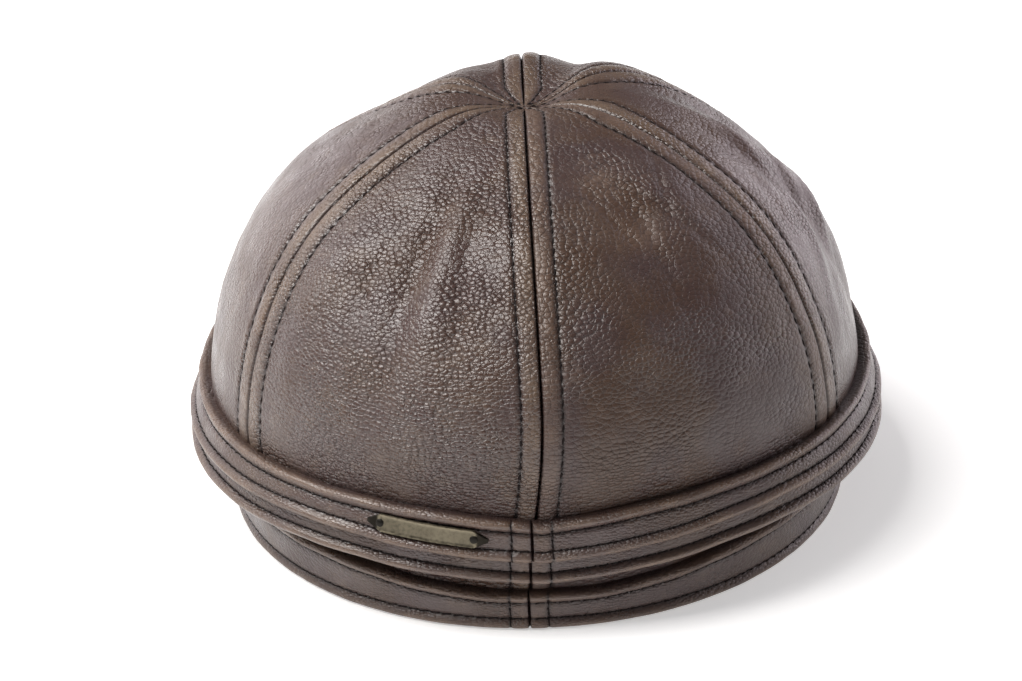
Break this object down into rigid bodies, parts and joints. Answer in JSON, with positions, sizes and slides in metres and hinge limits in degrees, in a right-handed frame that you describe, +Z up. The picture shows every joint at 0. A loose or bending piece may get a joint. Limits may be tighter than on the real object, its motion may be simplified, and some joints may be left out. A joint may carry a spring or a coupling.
{
  "type": "leather earflap cap",
  "caption": "Peaked leather cap with a gored crown, a rim band, turned-up ear flaps in shingled strips and a small bare metal plate at the back.",
  "frame": {"origin": "on the surface the cap rests on, under the middle of the whole cap's box, peak included", "axes": "+Z up, +Y toward the back of the head, the peak toward -Y, +X toward the wearer's left"},
  "size_m": [0.2048, 0.2494, 0.1188],
  "materials": {
    "crown_leather": "dark grey-brown pebbled leather, semi-gloss with worn highlights",
    "strip_leather": "brown leather strips, lighter and worn along the rolled edges",
    "peak_leather": "dark grey-brown leather, stitched edge",
    "plate_brass": "antique brass, dulled",
    "rivet_metal": "blackened metal"
  },
  "bodies": {
    "root": {"crown_back_left": "crown_leather", "crown_back_right": "crown_leather", "crown_side_left": "crown_leather", "crown_side_right": "crown_leather", "crown_front_left": "crown_leather", "crown_front_right": "crown_leather", "flap_upper_left": "strip_leather", "flap_upper_right": "strip_leather", "flap_lower_left": "strip_leather", "flap_lower_right": "strip_leather", "rim_band_left": "strip_leather", "rim_band_right": "strip_leather", "plate": "plate_brass", "plate_rivet_left": "rivet_metal", "plate_rivet_right": "rivet_metal", "peak": "peak_leather"}
  },
  "joints": []
}
